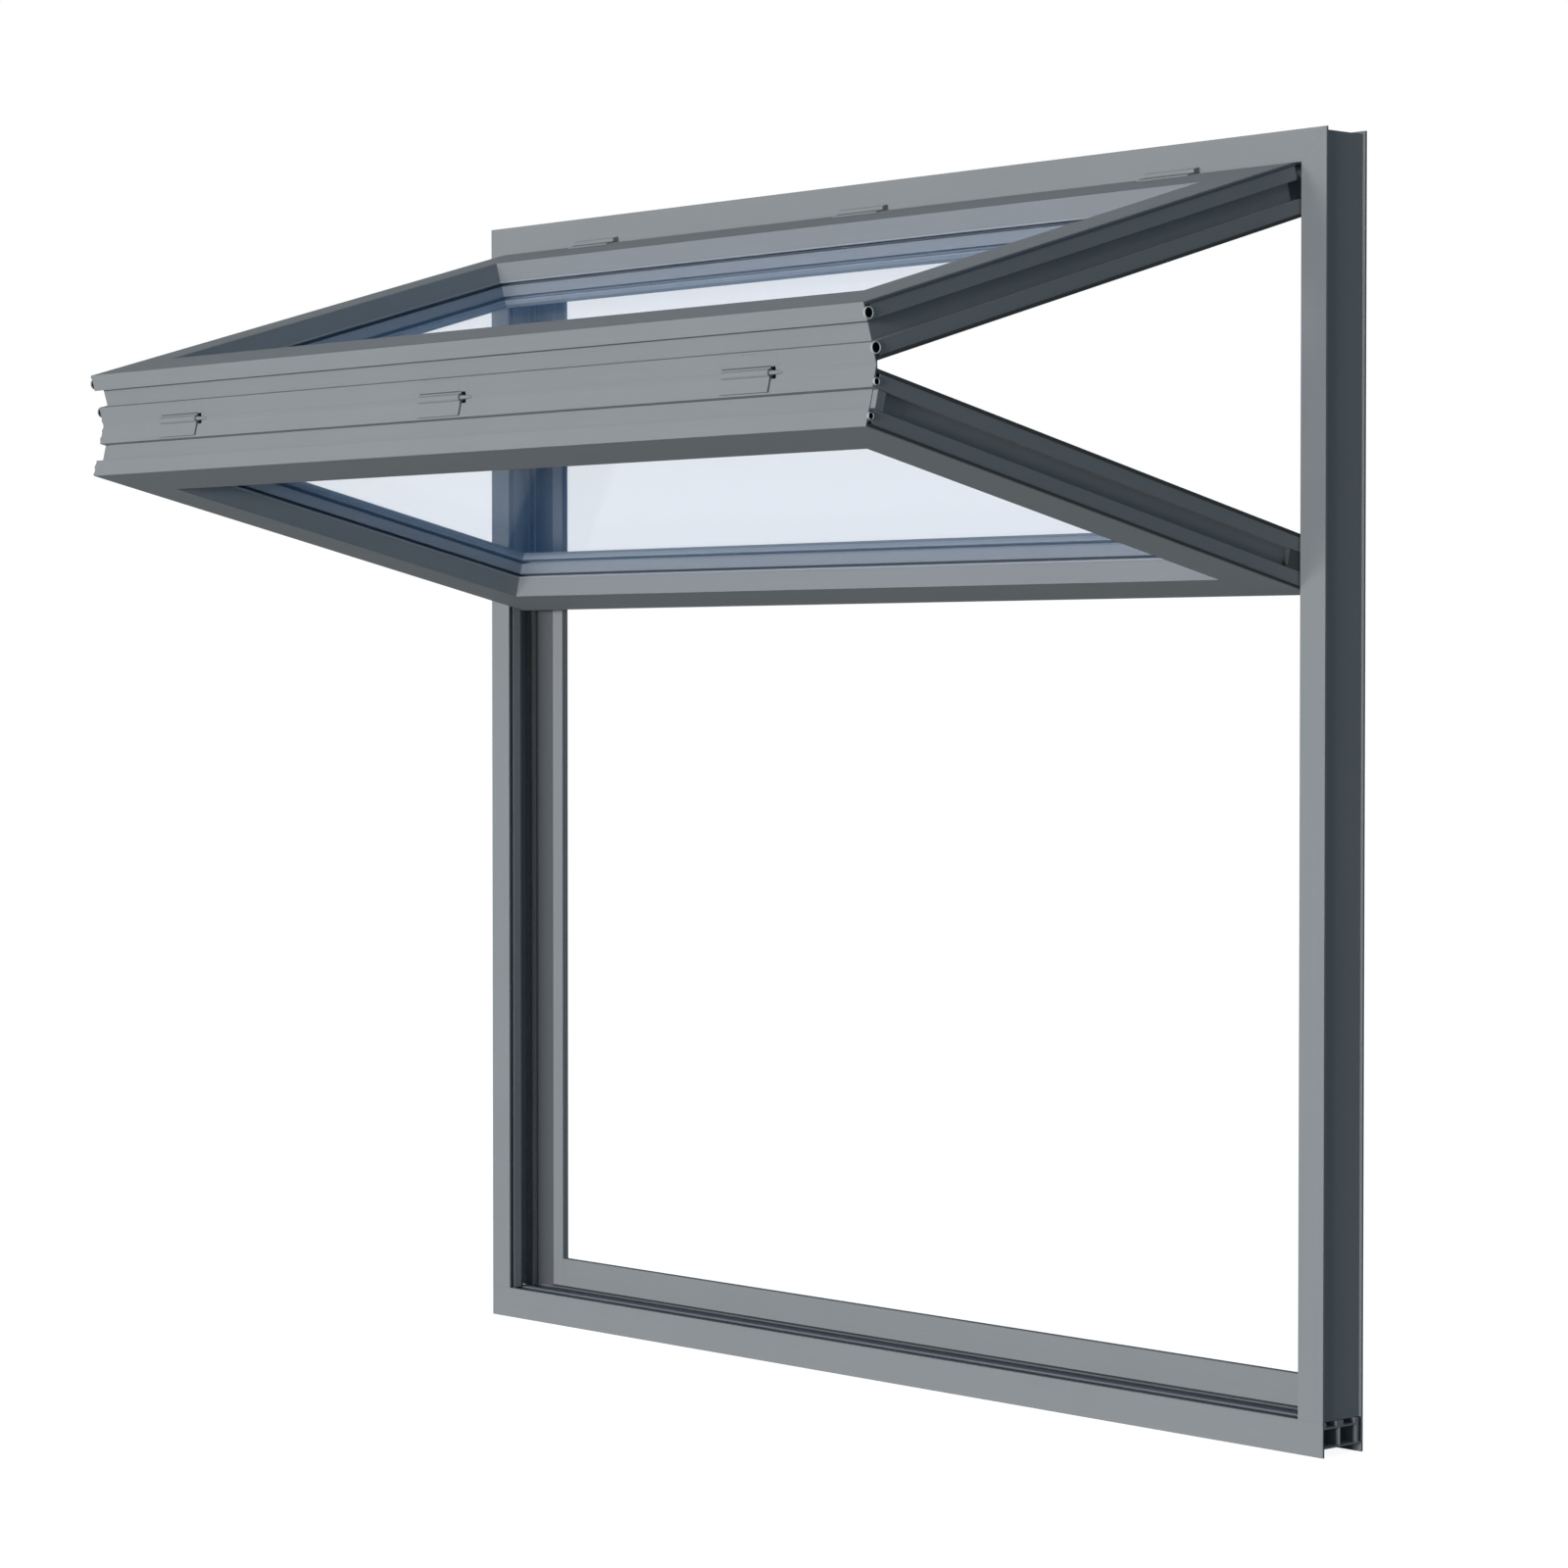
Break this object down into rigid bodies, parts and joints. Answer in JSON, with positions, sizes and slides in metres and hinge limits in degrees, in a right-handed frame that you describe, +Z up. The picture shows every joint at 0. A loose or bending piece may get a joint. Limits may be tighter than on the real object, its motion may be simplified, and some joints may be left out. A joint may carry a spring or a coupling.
{
  "type": "folding service window",
  "caption": "Square aluminium service window whose hinged glazed sashes fold up and outward, shown raised as a canopy over the serving opening.",
  "frame": {"origin": "on the back face of the frame's sill, at the middle of the width and level with the sill floor; the back face lies against the wall or reveal", "axes": "+X to the right seen from outdoors, +Y into the building, +Z up; the sashes stand out towards -Y"},
  "size_m": [1.5, 0.7485, 1.5],
  "materials": {
    "frame_coating": "satin grey powder coat",
    "sash_coating": "satin grey powder coat",
    "hinge_coating": "satin grey powder coat",
    "glass": "clear float glass with a faint blue tint",
    "seal_rubber": "matt black",
    "fold_rubber": "satin grey, soft",
    "spacer": "matt grey warm-edge spacer",
    "guide_metal": "zinc plated, dull",
    "guide_plastic": "matt black nylon"
  },
  "bodies": {
    "root": {"fold_hinge_centre": "hinge_coating", "fold_hinge_left": "hinge_coating", "fold_hinge_right": "hinge_coating", "fold_seal": "fold_rubber", "frame_head": "frame_coating", "frame_jamb_left": "frame_coating", "frame_jamb_right": "frame_coating", "frame_sill": "frame_coating", "guide_bracket_left": "guide_metal", "guide_bracket_right": "guide_metal", "guide_shoe_left": "guide_plastic", "guide_shoe_right": "guide_plastic", "head_hinge_centre": "hinge_coating", "head_hinge_left": "hinge_coating", "head_hinge_right": "hinge_coating", "lower_bead_bottom_rail": "sash_coating", "lower_bead_left_stile": "sash_coating", "lower_bead_right_stile": "sash_coating", "lower_bead_top_rail": "sash_coating", "lower_bottom_rail": "sash_coating", "lower_glass_spacer": "spacer", "lower_inner_gasket": "seal_rubber", "lower_inner_pane": "glass", "lower_left_stile": "sash_coating", "lower_outer_gasket": "seal_rubber", "lower_outer_pane": "glass", "lower_right_stile": "sash_coating", "lower_top_rail": "sash_coating", "upper_bead_bottom_rail": "sash_coating", "upper_bead_left_stile": "sash_coating", "upper_bead_right_stile": "sash_coating", "upper_bead_top_rail": "sash_coating", "upper_bottom_rail": "sash_coating", "upper_glass_spacer": "spacer", "upper_inner_gasket": "seal_rubber", "upper_inner_pane": "glass", "upper_left_stile": "sash_coating", "upper_outer_gasket": "seal_rubber", "upper_outer_pane": "glass", "upper_right_stile": "sash_coating", "upper_top_rail": "sash_coating"}
  },
  "joints": []
}
